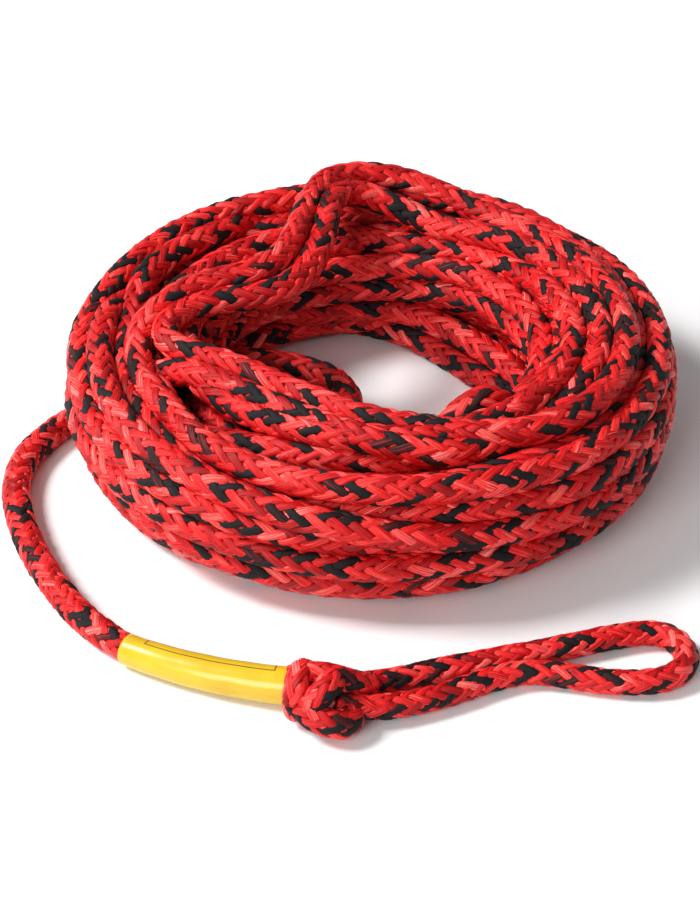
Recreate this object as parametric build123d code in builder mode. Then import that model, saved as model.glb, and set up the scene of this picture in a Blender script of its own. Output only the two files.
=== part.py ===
"""Coiled tube tow rope: a hollow braided rope in a loose round coil, with a knotted tow eye.

Units are millimetres. The frame's origin is the coil's centre on the floor, with +Z up.
The free lead leaves the coil on its -X side, runs on the floor through the yellow label
sleeve, and ends in the knot and the tow eye on the -Y side.
"""
import math
import os

from build123d import *

# Rope
rope_d = 10.0
eye_rope_d = 9.4
arc_share_of_run = 0.45

# Main coil: the outer shape of all the wound turns
coil_mean_r = 94.0
coil_width = 60.0
coil_height = 64.0
coil_corner_r = 22.0

# Splice and its sleeve: both swell towards the knot
splice_end_d = 12.2
tail_start_d = 3.0
tail_end_d = 6.2
tail_length = 56.0
sleeve_length = 64.0
sleeve_wall = 1.0
sleeve_arc_r = 170.0
sleeve_end = (-30.3, -165.5)
sleeve_end_heading = -9.4

# Eye knot: seated against the sleeve's end, a little to one side
knot_length = 28.0
knot_width = 26.0
knot_height = 24.5
knot_corner_r = 12.0
knot_rounding = 7.8
knot_gap = 0.3
knot_aside = -8.5
knot_heading = -12.0
rope_into_knot = 4.0

# Each route's points are in a plane that moves with what the rope lies on, so a height
# of 0 is a rope lying on the floor, and on the coil's loose turns it is the coil's top.

# The free lead, from the coil to the sleeve's mouth
lead_points = [
    (-92.0, 66.0, 4.0),
    (-101.0, 46.0, 2.0),
    (-108.0, 27.0, 0.6),
    (-118.0, 11.0, 0.2),
    (-131.0, -3.0, 0.0),
    (-140.5, -21.0, 0.0),
    (-142.5, -42.0, 0.0),
    (-138.0, -64.0, 0.0),
    (-130.0, -86.0, 0.0),
    (-119.0, -108.0, 0.1),
    (-106.0, -128.0, 0.4),
]

# The tow eye, out from the knot, round its tip and back into the knot
eye_points = [
    (-14.0, -170.0, 5.3),
    (-4.0, -165.5, 3.3),
    (8.5, -160.5, 0.9),
    (29.0, -152.5, 0.1),
    (47.5, -147.5, 0.0),
    (66.0, -142.5, 0.0),
    (87.5, -135.5, 0.0),
    (104.0, -132.0, 0.0),
    (112.5, -137.0, 0.0),
    (115.5, -146.5, 0.0),
    (112.0, -156.5, 0.0),
    (102.0, -162.8, 0.0),
    (85.0, -163.2, 0.0),
    (69.0, -160.0, 0.0),
    (55.5, -158.0, 0.0),
    (42.0, -162.0, 0.0),
    (26.0, -170.0, 0.1),
    (9.0, -175.5, 0.9),
    (-4.0, -177.0, 2.3),
    (-13.0, -176.5, 4.3),
]

# Loose turn that crosses the coil's top at the back left
top_turn_points = [
    (-92.0, -31.0, -15.0),
    (-85.0, -14.0, -7.0),
    (-76.0, 4.0, -1.0),
    (-63.0, 21.0, 3.0),
    (-47.0, 34.0, 5.0),
    (-31.0, 44.0, 6.0),
    (-21.0, 60.0, 7.0),
    (-18.0, 79.0, 7.0),
    (-9.0, 95.0, 6.0),
    (9.0, 103.0, 3.0),
    (30.0, 104.0, -3.0),
    (50.0, 99.0, -10.0),
]

# Loose turn that sags into the coil's eye on the left
inner_turn_points = [
    (-78.0, 22.0, -40.0),
    (-63.0, 31.0, -42.0),
    (-46.0, 32.0, -44.0),
    (-30.0, 26.0, -45.5),
    (-17.0, 15.0, -46.0),
    (-11.0, 0.0, -46.0),
    (-13.0, -16.0, -45.5),
    (-20.0, -31.0, -44.5),
    (-27.0, -46.0, -43.0),
    (-30.0, -63.0, -41.0),
    (-28.0, -80.0, -39.0),
]

# Small bight that stands up on the coil's inner rim at the front right
inner_bight_points = [
    (22.0, -68.0, -21.0),
    (28.0, -63.0, -12.5),
    (36.5, -58.5, -7.5),
    (46.0, -54.5, -7.5),
    (53.0, -52.0, -13.0),
    (57.0, -52.0, -22.0),
]


def corner_radii(points, label):
    """Each corner's arc radius: as large as the two runs beside it allow."""
    corners = [Vector(*point) for point in points]
    radii = []
    for before, here, after in zip(corners, corners[1:], corners[2:]):
        run_in = here - before
        run_out = after - here
        half_turn = math.radians(run_in.get_angle(run_out) / 2)
        shorter_run = min(run_in.length, run_out.length)
        radii.append(arc_share_of_run * shorter_run / math.tan(half_turn))
    print(label, "arc radii:", [round(radius, 1) for radius in radii])
    return radii


def rope_tube(points, route_plane, diameter, label):
    """A plain tube of rope along a route, with its volume printed beside its section x length."""
    with BuildPart() as tube:
        with BuildLine(route_plane) as line:
            FilletPolyline(*points, radius=corner_radii(points, label))
        with BuildSketch(Plane(origin=line.line @ 0, z_dir=line.line % 0)):
            Circle(diameter / 2)
        sweep()
    length = sum(edge.length for edge in line.edges())
    expected = math.pi * diameter**2 / 4 * length
    print(f"{label}: length {length:.1f}, volume {tube.part.volume:.0f}, expected {expected:.0f}")
    return tube.part


os.makedirs("parts", exist_ok=True)
coil_top_plane = Plane.XY.offset(coil_height)
lying_rope_plane = Plane.XY.offset(rope_d / 2)
lying_eye_plane = Plane.XY.offset(eye_rope_d / 2)

# ---- main coil: the wound turns as one ring with a flat underside
with BuildPart() as main_coil:
    with BuildSketch(Plane.XZ) as coil_section:
        with Locations((coil_mean_r, coil_height / 2)):
            RectangleRounded(coil_width, coil_height, coil_corner_r)
    revolve(axis=Axis.Z)
main_coil.part.label = "main_coil"
export_step(main_coil.part, "parts/main_coil.step")

# ---- loose turns: ropes that stand clear of the ring's own shape
with BuildPart() as coil_top_turn:
    add(rope_tube(top_turn_points, coil_top_plane, rope_d, "coil_top_turn"))
coil_top_turn.part.label = "coil_top_turn"
export_step(coil_top_turn.part, "parts/coil_top_turn.step")

with BuildPart() as coil_inner_turn:
    add(rope_tube(inner_turn_points, coil_top_plane, rope_d, "coil_inner_turn"))
coil_inner_turn.part.label = "coil_inner_turn"
export_step(coil_inner_turn.part, "parts/coil_inner_turn.step")

with BuildPart() as coil_inner_bight:
    add(rope_tube(inner_bight_points, coil_top_plane, rope_d, "coil_inner_bight"))
coil_inner_bight.part.label = "coil_inner_bight"
export_step(coil_inner_bight.part, "parts/coil_inner_bight.step")

# ---- the sleeve's curve: one level arc from its mouth to the knot, seen from above
# The rope swells along it, so its centre line rises and both ends stay on the floor.
end_heading = math.radians(sleeve_end_heading)
sleeve_arc_x = sleeve_end[0] - sleeve_arc_r * math.sin(end_heading)
sleeve_arc_y = sleeve_end[1] + sleeve_arc_r * math.cos(end_heading)
sleeve_mouth_d = rope_d + 2 * sleeve_wall
sleeve_end_d = splice_end_d + 2 * sleeve_wall


def sleeve_plane(length_past_mouth):
    """The plane across the rope at a length past the sleeve's mouth."""
    heading = end_heading + (length_past_mouth - sleeve_length) / sleeve_arc_r
    share = min(max(length_past_mouth / sleeve_length, 0), 1)
    outside_d = sleeve_mouth_d + share * (sleeve_end_d - sleeve_mouth_d)
    place = (
        sleeve_arc_x + sleeve_arc_r * math.sin(heading),
        sleeve_arc_y - sleeve_arc_r * math.cos(heading),
        outside_d / 2,
    )
    return Plane(origin=place, x_dir=(0, 0, 1), z_dir=(math.cos(heading), math.sin(heading), 0))


def swelling_tube(start, end, start_d, end_d, stations=5):
    """Loft a round solid along the sleeve's curve, from one diameter to another."""
    with BuildPart() as tube:
        for station in range(stations):
            share = station / (stations - 1)
            with BuildSketch(sleeve_plane(start + share * (end - start))):
                Circle((start_d + share * (end_d - start_d)) / 2)
        loft()
    return tube.part


# ---- label sleeve: a shrunk plastic tube over the splice
with BuildPart() as label_sleeve:
    add(swelling_tube(0, sleeve_length, sleeve_mouth_d, sleeve_end_d))
    add(swelling_tube(0, sleeve_length, rope_d, splice_end_d), mode=Mode.SUBTRACT)
label_sleeve.part.label = "label_sleeve"
export_step(label_sleeve.part, "parts/label_sleeve.step")

# ---- splice tail: the rope's own end, tapered and buried in the hollow braid
with BuildPart() as splice_tail:
    add(swelling_tube(sleeve_length - tail_length, sleeve_length, tail_start_d, tail_end_d))
splice_tail.part.label = "splice_tail"
export_step(splice_tail.part, "parts/splice_tail.step")

# ---- lead rope: the free lead, then the swollen braid that holds the tail
mouth_point = lying_rope_plane.to_local_coords(sleeve_plane(0).origin)
with BuildPart() as lead_rope:
    add(rope_tube([*lead_points, tuple(mouth_point)], lying_rope_plane, rope_d, "lead_rope"))
    add(swelling_tube(0, sleeve_length, rope_d, splice_end_d))
    add(swelling_tube(sleeve_length, sleeve_length + rope_into_knot, splice_end_d, splice_end_d, 2))
    add(splice_tail.part, mode=Mode.SUBTRACT)
lead_rope.part.label = "lead_rope"
export_step(lead_rope.part, "parts/lead_rope.step")

# ---- eye knot: the overhand knot that closes the eye, as one rounded lump
knot_along = knot_length / 2 + knot_gap
knot_place = (
    sleeve_end[0] + knot_along * math.cos(end_heading) - knot_aside * math.sin(end_heading),
    sleeve_end[1] + knot_along * math.sin(end_heading) + knot_aside * math.cos(end_heading),
)
knot_turned = math.radians(knot_heading)
knot_x_dir = (math.cos(knot_turned), math.sin(knot_turned), 0)
with BuildPart() as eye_knot:
    with BuildSketch(Plane(origin=(*knot_place, 0), x_dir=knot_x_dir, z_dir=(0, 0, 1))):
        RectangleRounded(knot_length, knot_width, knot_corner_r)
    extrude(amount=knot_height)
    fillet(eye_knot.faces().filter_by(Axis.Z).edges(), knot_rounding)
eye_knot.part.label = "eye_knot"
export_step(eye_knot.part, "parts/eye_knot.step")

# ---- eye loop: the tow eye
with BuildPart() as eye_loop:
    add(rope_tube(eye_points, lying_eye_plane, eye_rope_d, "eye_loop"))
eye_loop.part.label = "eye_loop"
export_step(eye_loop.part, "parts/eye_loop.step")
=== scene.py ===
"""The looks of a coiled tube tow rope: braided strands, tow eye, knot and label sleeve.

All sizes are in metres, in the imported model's own frame: the origin is the coil's centre on
the floor, with +Z up.
"""
import logging
import math
from dataclasses import dataclass, field
from enum import Enum

import bpy
import numpy as np
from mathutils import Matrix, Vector


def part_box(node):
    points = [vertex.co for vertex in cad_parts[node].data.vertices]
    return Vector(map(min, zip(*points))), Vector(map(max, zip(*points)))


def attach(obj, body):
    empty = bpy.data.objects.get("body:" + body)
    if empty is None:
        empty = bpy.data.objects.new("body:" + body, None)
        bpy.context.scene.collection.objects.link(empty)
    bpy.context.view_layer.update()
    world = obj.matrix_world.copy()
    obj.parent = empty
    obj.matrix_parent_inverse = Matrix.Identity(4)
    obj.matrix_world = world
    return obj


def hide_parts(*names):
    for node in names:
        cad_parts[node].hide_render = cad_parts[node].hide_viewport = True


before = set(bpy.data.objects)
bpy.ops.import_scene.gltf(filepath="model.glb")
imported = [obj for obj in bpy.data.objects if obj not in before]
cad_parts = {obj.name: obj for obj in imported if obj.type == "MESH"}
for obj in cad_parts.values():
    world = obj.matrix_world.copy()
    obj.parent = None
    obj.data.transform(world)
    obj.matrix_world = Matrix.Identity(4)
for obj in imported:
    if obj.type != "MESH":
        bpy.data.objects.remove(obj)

LOG = logging.getLogger("tow_rope")
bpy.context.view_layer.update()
BODY = "root"
BAKE_MAP = "OFBake"
STRAND_MAP = "strand"
# A bake map's row leaves a margin on each side of the tube that it holds.
BAKE_ROW_MARGIN = 0.04
BAKE_ROW_FILL = 0.92
# The clearance kept under a rope that lies on the floor.
FLOOR_GAP = 0.0002
WHOLE_TURN = 2.0 * math.pi
UP = Vector((0.0, 0.0, 1.0))

Point = tuple[float, float, float]
Colour = tuple[float, float, float]
Socket = bpy.types.NodeSocket

# The free lead, from the coil to the sleeve's mouth. A height of 0 is a rope lying on the floor.
LEAD_POINTS: list[Point] = [
    (-0.092, 0.066, 0.004),
    (-0.101, 0.046, 0.002),
    (-0.108, 0.027, 0.0006),
    (-0.118, 0.011, 0.0002),
    (-0.131, -0.003, 0.0),
    (-0.1405, -0.021, 0.0),
    (-0.1425, -0.042, 0.0),
    (-0.138, -0.064, 0.0),
    (-0.130, -0.086, 0.0),
    (-0.119, -0.108, 0.0001),
    (-0.106, -0.128, 0.0004),
]

# The tow eye, out from the knot, round its tip and back. A height of 0 is a leg on the floor.
EYE_POINTS: list[Point] = [
    (-0.014, -0.170, 0.0053),
    (-0.004, -0.1655, 0.0033),
    (0.0085, -0.1605, 0.0009),
    (0.029, -0.1525, 0.0001),
    (0.0475, -0.1475, 0.0),
    (0.066, -0.1425, 0.0),
    (0.0875, -0.1355, 0.0),
    (0.104, -0.132, 0.0),
    (0.1125, -0.137, 0.0),
    (0.1155, -0.1465, 0.0),
    (0.112, -0.1555, 0.0),
    (0.102, -0.1608, 0.0),
    (0.085, -0.1608, 0.0),
    (0.069, -0.1565, 0.0),
    (0.0555, -0.1545, 0.0),
    (0.042, -0.159, 0.0),
    (0.026, -0.168, 0.0001),
    (0.009, -0.1745, 0.0009),
    (-0.004, -0.177, 0.0023),
    (-0.013, -0.1765, 0.0043),
]

# Loose turn over the coil's top, down at the back left. Heights are from the coil's top.
TOP_TURN_POINTS: list[Point] = [
    (0.042, 0.094, -0.007),
    (0.026, 0.100, -0.002),
    (0.009, 0.102, 0.003),
    (-0.008, 0.099, 0.0055),
    (-0.020, 0.090, 0.007),
    (-0.026, 0.070, 0.007),
    (-0.030, 0.050, 0.0065),
    (-0.035, 0.032, 0.005),
    (-0.046, 0.020, 0.004),
    (-0.059, 0.0165, 0.003),
    (-0.071, 0.0125, 0.0015),
    (-0.081, 0.005, -0.0005),
    (-0.089, -0.003, -0.0035),
    (-0.0925, -0.012, -0.007),
    (-0.092, -0.024, -0.010),
    (-0.089, -0.037, -0.011),
    (-0.083, -0.050, -0.010),
]

# Loose turn beside it that bends sharply at the left and follows the inner rim. Heights here
# and in the stretches below are from the coil's top too.
RIM_TURN_POINTS: list[Point] = [
    (0.032, 0.078, -0.010),
    (0.014, 0.086, -0.005),
    (-0.002, 0.0895, 0.0015),
    (-0.0125, 0.084, 0.0055),
    (-0.0175, 0.069, 0.006),
    (-0.0185, 0.053, 0.005),
    (-0.021, 0.037, 0.003),
    (-0.0265, 0.0235, 0.001),
    (-0.036, 0.0135, -0.001),
    (-0.049, 0.010, -0.002),
    (-0.062, 0.009, -0.0025),
    (-0.073, 0.0045, -0.003),
    (-0.0810, -0.0040, -0.004),
    (-0.0825, -0.0140, -0.0055),
    (-0.0755, -0.0230, -0.0055),
    (-0.0625, -0.0305, -0.005),
    (-0.0465, -0.042, -0.0045),
    (-0.032, -0.054, -0.004),
    (-0.0175, -0.064, -0.004),
    (-0.002, -0.073, -0.0045),
    (0.017, -0.078, -0.005),
    (0.035, -0.081, -0.006),
]

# Turn that lies close outside the rim turn over the coil's front left.
SHOULDER_TURN_POINTS: list[Point] = [
    (-0.0905, -0.008, -0.026),
    (-0.0880, -0.0195, -0.0205),
    (-0.0810, -0.0290, -0.0125),
    (-0.070, -0.0375, -0.007),
    (-0.0535, -0.050, -0.006),
    (-0.038, -0.0625, -0.006),
    (-0.022, -0.073, -0.006),
    (-0.005, -0.0825, -0.0065),
    (0.013, -0.088, -0.0075),
    (0.032, -0.0905, -0.009),
]

# Loose turn that sags into the coil's open middle.
INNER_TURN_POINTS: list[Point] = [
    (-0.047, 0.062, -0.038),
    (-0.066, 0.061, -0.038),
    (-0.081, 0.052, -0.038),
    (-0.089, 0.039, -0.039),
    (-0.086, 0.026, -0.040),
    (-0.075, 0.0205, -0.0405),
    (-0.062, 0.024, -0.042),
    (-0.046, 0.0285, -0.0445),
    (-0.028, 0.027, -0.047),
    (-0.0135, 0.018, -0.048),
    (-0.0075, 0.002, -0.0475),
    (-0.0105, -0.015, -0.0465),
    (-0.0185, -0.031, -0.045),
    (-0.0265, -0.046, -0.043),
    (-0.0275, -0.060, -0.040),
    (-0.0215, -0.0705, -0.035),
    (-0.009, -0.0745, -0.030),
]

# Turn on the floor that bulges in at the right of the open middle.
FLOOR_TURN_POINTS: list[Point] = [
    (0.067, -0.018, -0.0555),
    (0.0675, -0.002, -0.057),
    (0.064, 0.0125, -0.058),
    (0.0565, 0.026, -0.0585),
    (0.045, 0.040, -0.0585),
    (0.031, 0.057, -0.0585),
    (0.013, 0.073, -0.0575),
]

# Turn above it, close against the inner wall.
WALL_TURN_POINTS: list[Point] = [
    (0.0695, -0.012, -0.045),
    (0.0685, 0.004, -0.0465),
    (0.0645, 0.019, -0.0475),
    (0.0565, 0.033, -0.048),
    (0.0455, 0.0465, -0.048),
    (0.032, 0.060, -0.0475),
    (0.015, 0.072, -0.046),
]

# Small bight that stands up on the inner rim.
INNER_BIGHT_POINTS: list[Point] = [
    (0.017, -0.070, -0.0175),
    (0.026, -0.0665, -0.0165),
    (0.0325, -0.062, -0.011),
    (0.039, -0.0575, -0.0075),
    (0.0465, -0.054, -0.008),
    (0.0525, -0.0515, -0.013),
    (0.0585, -0.0465, -0.0165),
]

# The knot's crest, over the wrap towards the eye. Heights are from the floor.
KNOT_TOP_POINTS: list[Point] = [
    (-0.0285, -0.1700, 0.0145),
    (-0.0245, -0.1702, 0.0168),
    (-0.0185, -0.1712, 0.0174),
    (-0.0120, -0.1715, 0.0158),
    (-0.0060, -0.1700, 0.0120),
    (-0.0010, -0.1670, 0.0085),
]

# The knot's round bight, low at its front. Heights are from the floor.
KNOT_BIGHT_POINTS: list[Point] = [
    (-0.0265, -0.1765, 0.0105),
    (-0.0235, -0.1825, 0.0100),
    (-0.0175, -0.1862, 0.0082),
    (-0.0110, -0.1860, 0.0066),
    (-0.0070, -0.1810, 0.0060),
    (-0.0100, -0.1755, 0.0060),
]


class Hand(Enum):
    """Which way a strand winds round the rope."""

    LEFT = -1
    RIGHT = 1


class Yarn(Enum):
    """What a strand is spun from."""

    PLAIN = "plain"
    TRACER = "tracer"


# ---------------------------------------------------------------- shared geometry helpers


def raised(points: list[Point], height: float) -> np.ndarray:
    """Lift a route's points by one height.

    Args:
        points: the route, with heights from its own base.
        height: the base's height over the floor.

    Returns:
        The points as rows of an array.
    """
    return np.array(points) + np.array([0.0, 0.0, height])


def smooth_noise(rng: np.random.Generator, count: int, spacing: float,
                 width: int = 1) -> np.ndarray:
    """Make slow random waves between about -1 and 1.

    Args:
        rng: the seeded source of the waves.
        count: how many samples to give.
        spacing: how many samples lie between two random knots.
        width: how many independent waves to give.

    Returns:
        An array of count rows and width columns.
    """
    knots = rng.uniform(-1.0, 1.0, (int(count / spacing) + 4, width))
    place = np.arange(count) / spacing
    below = place.astype(int)
    share = (place - below)[:, None]
    eased = share * share * (3.0 - 2.0 * share)
    return knots[below] * (1.0 - eased) + knots[below + 1] * eased


def follow_spline(name: str, points: np.ndarray, step: float, resolution: int = 12) -> np.ndarray:
    """Read evenly spaced points from the NURBS spline that has these control points.

    Args:
        name: the curve's name while it is read.
        points: control points, one per row.
        step: the wanted distance between the points returned.
        resolution: how finely the spline is read between two control points.

    Returns:
        The points along the spline, one per row.
    """
    curve = bpy.data.curves.new(name, "CURVE")
    curve.dimensions = "3D"
    curve.resolution_u = resolution
    spline = curve.splines.new("NURBS")
    spline.points.add(len(points) - 1)
    for place, point in zip(points, spline.points):
        point.co = (*place, 1.0)
    spline.order_u = 3
    spline.use_endpoint_u = True
    holder = bpy.data.objects.new(name, curve)
    line = bpy.data.meshes.new_from_object(holder)
    read = np.zeros(len(line.vertices) * 3)
    line.vertices.foreach_get("co", read)
    bpy.data.objects.remove(holder)
    bpy.data.curves.remove(curve)
    bpy.data.meshes.remove(line)
    read = read.reshape(-1, 3)
    lengths = np.concatenate([[0.0], np.cumsum(np.linalg.norm(np.diff(read, axis=0), axis=1))])
    wanted = np.linspace(0.0, lengths[-1], max(4, round(lengths[-1] / step) + 1))
    return np.stack([np.interp(wanted, lengths, read[:, axis]) for axis in range(3)], axis=1)


@dataclass
class Line:
    """A rope's centre line with a frame that turns along it without twisting."""

    points: np.ndarray
    along: np.ndarray = field(init=False)
    tangent: np.ndarray = field(init=False)
    side: np.ndarray = field(init=False)
    top: np.ndarray = field(init=False)

    def __post_init__(self) -> None:
        """Work out the distance along the line and the frame at each point."""
        steps = np.linalg.norm(np.diff(self.points, axis=0), axis=1)
        self.along = np.concatenate([[0.0], np.cumsum(steps)])
        tangent = np.gradient(self.points, axis=0)
        self.tangent = tangent / np.linalg.norm(tangent, axis=1)[:, None]
        side = np.empty_like(self.points)
        start = np.cross(self.tangent[0], (0.0, 0.0, 1.0))
        if np.linalg.norm(start) < 0.1:
            start = np.cross(self.tangent[0], (0.0, 1.0, 0.0))
        side[0] = start / np.linalg.norm(start)
        for index in range(1, len(side)):
            here = self.tangent[index]
            carried = side[index - 1] - here * float(side[index - 1] @ here)
            side[index] = carried / math.sqrt(float(carried @ carried))
        self.side = side
        self.top = np.cross(side, self.tangent)

    def length(self) -> float:
        """The line's whole length."""
        return float(self.along[-1])

    def spacing(self) -> float:
        """The mean distance between two points of the line."""
        return self.length() / (len(self.points) - 1)

    def around(self, angle: np.ndarray, radius: np.ndarray) -> np.ndarray:
        """Offsets from the line at angles and distances round it.

        Args:
            angle: per point of the line, the angles from its side.
            radius: per point of the line, the distances from it.

        Returns:
            The offsets, as points of the line by angles by 3.
        """
        offsets = (np.cos(angle) * radius)[..., None] * self.side[:, None, :]
        return offsets + (np.sin(angle) * radius)[..., None] * self.top[:, None, :]


@dataclass
class Squash:
    """Flat contacts that press a rope's section: against its neighbours and the floor."""

    normals: np.ndarray
    limits: np.ndarray

    @classmethod
    def between_passes(cls, line: Line, reach: float, most: int) -> "Squash":
        """Find where the rope passes itself, and press the two passes flat between them.

        Args:
            line: the rope's centre line.
            reach: passes further apart than this don't touch.
            most: the greatest number of contacts kept at one place.

        Returns:
            The contacts at each of the line's points.
        """
        points = line.points.astype(np.float32)
        count = len(points)
        own_neighbours = int(3.0 * reach / line.spacing())
        normals = np.zeros((count, most + 1, 3))
        limits = np.full((count, most + 1), 1.0)
        filled = np.zeros(count, int)
        square = (points**2).sum(1)
        block = 256
        for first in range(0, count, block):
            part = points[first : first + block]
            gap = square[first : first + block, None] + square[None, :] - 2.0 * part @ points.T
            near = gap < reach**2
            near[:, 1:-1] &= (gap[:, 1:-1] <= gap[:, :-2]) & (gap[:, 1:-1] < gap[:, 2:])
            here, other = np.nonzero(near)
            kept = np.abs(other - here - first) > own_neighbours
            here, other = here[kept], other[kept]
            order = np.lexsort((gap[here, other], here))
            for index in order:
                row = first + here[index]
                if filled[row] >= most:
                    continue
                between = line.points[other[index]] - line.points[row]
                apart = np.linalg.norm(between)
                normals[row, filled[row]] = between / max(apart, 1e-9)
                limits[row, filled[row]] = apart / 2.0
                filled[row] += 1
        normals[:, most] = (0.0, 0.0, -1.0)
        limits[:, most] = line.points[:, 2] - FLOOR_GAP
        return cls(normals, limits)

    @classmethod
    def on_floor(cls, line: Line) -> "Squash":
        """Press a rope on the floor alone.

        Args:
            line: the rope's centre line.

        Returns:
            The one contact at each of the line's points.
        """
        normals = np.tile(np.array([[0.0, 0.0, -1.0]]), (len(line.points), 1, 1))
        limits = (line.points[:, 2] - FLOOR_GAP)[:, None]
        return cls(normals, limits)

    def press(self, offsets: np.ndarray) -> np.ndarray:
        """Move section points that lie past a contact back to it.

        Args:
            offsets: per place along the line, the section's points about its centre.

        Returns:
            The offsets after pressing.
        """
        for slot in range(self.normals.shape[1]):
            normal = self.normals[:, slot][:, None, :]
            over = (offsets * normal).sum(2) - self.limits[:, slot][:, None]
            offsets = offsets - normal * np.maximum(over, 0.0)[..., None]
        return offsets


@dataclass
class MeshParts:
    """Vertices, faces, maps and attributes of a piece that is being built."""

    vertices: list[np.ndarray] = field(default_factory=list)
    quads: list[np.ndarray] = field(default_factory=list)
    strand_uv: list[np.ndarray] = field(default_factory=list)
    bake_uv: list[np.ndarray] = field(default_factory=list)
    tracer: list[np.ndarray] = field(default_factory=list)
    tone: list[np.ndarray] = field(default_factory=list)

    def add(self, rings: np.ndarray, u: np.ndarray, v: np.ndarray, tracer: np.ndarray,
            tone: np.ndarray, rows: tuple[int, int]) -> None:
        """Add one closed tube of rings.

        Args:
            rings: places, as rings by points round the ring by 3.
            u: each ring point's place across the strand, one more than the points.
            v: each ring's place along the strand.
            tracer: how dark each ring is.
            tone: each ring's shade.
            rows: the bake map's first free row, and its number of rows.
        """
        count, around = rings.shape[:2]
        base = sum(len(block) for block in self.vertices)
        ring, column = np.arange(count - 1)[:, None], np.arange(around)[None, :]
        first_row, all_rows = rows
        row_length = ring_row_length(count)
        row = first_row + ring // row_length
        near = (ring % row_length) / row_length
        far = near + 1.0 / row_length
        low = (row + BAKE_ROW_MARGIN + BAKE_ROW_FILL * column / around) / all_rows
        high = (row + BAKE_ROW_MARGIN + BAKE_ROW_FILL * (column + 1) / around) / all_rows
        bake = corner_map((near, low), (near, high), (far, high), (far, low))
        here, onward = v[:-1, None], v[1:, None]
        left, right = u[None, :-1], u[None, 1:]
        strand = corner_map((left, here), (right, here), (right, onward), (left, onward))
        ends = [np.arange(around)[::-1], (count - 1) * around + np.arange(around)]
        caps = np.array([[end[0], end[k], end[k + 1], end[k + 2]]
                         for end in ends for k in range(1, around - 2, 2)])
        self.vertices.append(rings.reshape(-1, 3))
        self.quads.append(tube_faces(count, around).reshape(-1, 4) + base)
        self.quads.append(caps + base)
        self.strand_uv.append(strand.reshape(-1, 2))
        self.strand_uv.append(np.zeros((len(caps) * 4, 2)))
        self.bake_uv.append(bake.reshape(-1, 2))
        self.bake_uv.append(np.tile(bake.reshape(-1, 4, 2)[0], (len(caps), 1)))
        self.tracer.append(np.repeat(tracer, around))
        self.tone.append(np.repeat(tone, around))

    def add_open(self, rings: np.ndarray, tracer: np.ndarray, tone: np.ndarray) -> None:
        """Add a very thin tube without end caps, all on one spot of the bake map.

        Args:
            rings: places, as rings by points round the ring by 3.
            tracer: how dark each ring is.
            tone: each ring's shade.
        """
        count, around = rings.shape[:2]
        base = sum(len(block) for block in self.vertices)
        faces = tube_faces(count, around)
        self.vertices.append(rings.reshape(-1, 3))
        self.quads.append(faces.reshape(-1, 4) + base)
        square = np.array([[0.1, 0.1], [0.9, 0.1], [0.9, 0.9], [0.1, 0.9]])
        spot = np.tile(square, (faces.size // 4, 1))
        self.strand_uv.append(spot)
        self.bake_uv.append(spot)
        self.tracer.append(np.repeat(tracer, around))
        self.tone.append(np.repeat(tone, around))

    def piece(self, name: str) -> bpy.types.Object:
        """Turn the collected parts into one smooth-shaded object.

        Args:
            name: the object's name.

        Returns:
            The object, linked to the scene.
        """
        vertices = np.concatenate(self.vertices)
        quads = np.concatenate(self.quads)
        mesh = bpy.data.meshes.new(name)
        mesh.vertices.add(len(vertices))
        mesh.vertices.foreach_set("co", vertices.astype(np.float32).ravel())
        mesh.loops.add(quads.size)
        mesh.loops.foreach_set("vertex_index", quads.astype(np.int32).ravel())
        mesh.polygons.add(len(quads))
        mesh.polygons.foreach_set("loop_start", np.arange(0, quads.size, 4, dtype=np.int32))
        mesh.update(calc_edges=True)
        mesh.shade_smooth()
        for map_name, blocks in ((STRAND_MAP, self.strand_uv), (BAKE_MAP, self.bake_uv)):
            layer = mesh.uv_layers.new(name=map_name)
            layer.uv.foreach_set("vector", np.concatenate(blocks).astype(np.float32).ravel())
        for label, blocks in (("tracer", self.tracer), ("tone", self.tone)):
            store = mesh.attributes.new(label, "FLOAT", "POINT")
            store.data.foreach_set("value", np.concatenate(blocks).astype(np.float32))
        made = bpy.data.objects.new(name, mesh)
        bpy.context.scene.collection.objects.link(made)
        return made


def tube_faces(count: int, around: int) -> np.ndarray:
    """Number the quads between the rings of a tube.

    Args:
        count: how many rings the tube has.
        around: how many points each ring has.

    Returns:
        Vertex numbers, as gaps between rings by places round a ring by 4.
    """
    ring, column = np.arange(count - 1)[:, None], np.arange(around)[None, :]
    after = (column + 1) % around
    return np.stack([ring * around + column, ring * around + after,
                     (ring + 1) * around + after, (ring + 1) * around + column], axis=2)


def corner_map(*corners: tuple[np.ndarray, np.ndarray]) -> np.ndarray:
    """Join the map places of each quad's four corners into one array."""
    return np.stack([np.stack(np.broadcast_arrays(*corner), 2) for corner in corners], axis=2)


def ring_row_length(count: int) -> int:
    """How many rings lie side by side in one row of the bake map."""
    return max(8, round(math.sqrt(count * 4.0)))


def rows_needed(count: int) -> int:
    """How many rows of the bake map a tube of that many rings takes."""
    return math.ceil((count - 1) / ring_row_length(count))


# ---------------------------------------------------------------- finishes


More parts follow.
